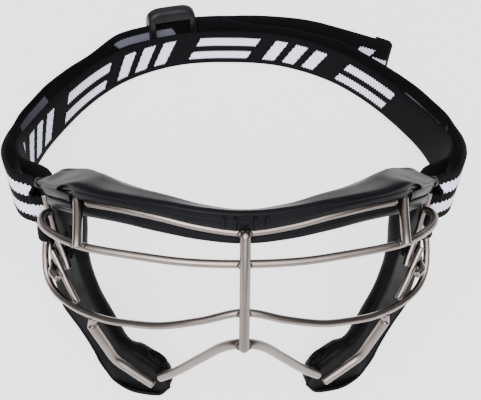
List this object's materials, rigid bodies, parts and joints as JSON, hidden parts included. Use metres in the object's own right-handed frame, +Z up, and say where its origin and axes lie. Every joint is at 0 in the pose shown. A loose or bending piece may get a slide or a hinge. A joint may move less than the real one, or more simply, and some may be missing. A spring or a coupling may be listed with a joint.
{
  "type": "lacrosse goggles",
  "caption": "Eye protection for field sport: a welded titanium wire face cage on a moulded brow pad and cheek pads, with an elastic head strap, looped at both temples, and a strap slider",
  "frame": {"origin": "centre of the bounding box in X and Y, on the table plane that both cheek pads and the strap rest on", "axes": "+X to the wearer's left-hand side as seen in a front view on the right, +Y from the nose to the back of the head, +Z up from the table"},
  "size_m": [0.2396, 0.2604, 0.1077],
  "materials": {
    "titanium": "satin gunmetal, polished wire",
    "pad_shell": "semi-gloss moulded",
    "pad_rubber": "soft satin",
    "webbing": "woven elastic, matte",
    "slider_plastic": "semi-gloss moulded",
    "slider_steel": "satin"
  },
  "bodies": {
    "cage": {"brow_wire": "titanium", "eye_wire": "titanium", "lower_wire": "titanium", "nose_wire": "titanium", "nose_bar": "titanium", "temple_post_right": "titanium", "cheek_wire_right": "titanium", "cheek_web_right": "titanium", "upper_rim_wire_right": "titanium", "lower_rim_wire_right": "titanium", "strap_bracket_right": "titanium", "temple_post_left": "titanium", "cheek_wire_left": "titanium", "cheek_web_left": "titanium", "upper_rim_wire_left": "titanium", "lower_rim_wire_left": "titanium", "strap_bracket_left": "titanium", "brow_pad": "pad_shell", "side_pad_right": "pad_rubber", "side_pad_left": "pad_rubber"},
    "strap": {"strap_webbing": "webbing"},
    "slider": {"slider_frame": "slider_plastic", "slider_bar": "slider_steel", "strap_tail": "webbing", "tail_hem": "webbing"}
  },
  "joints": [
    {"name": "strap_tilt", "type": "hinge", "parent": "cage", "child": "strap", "pos_m": [-0.0024, -0.06155, 0.06087], "axis": [1, 0, 0], "range_deg": [0, 8]},
    {"name": "slider_slide", "type": "hinge", "parent": "strap", "child": "slider", "pos_m": [-0.0024, -0.02261, 0.0167], "axis": [0, 0, 1], "range_deg": [-5, 5]}
  ]
}
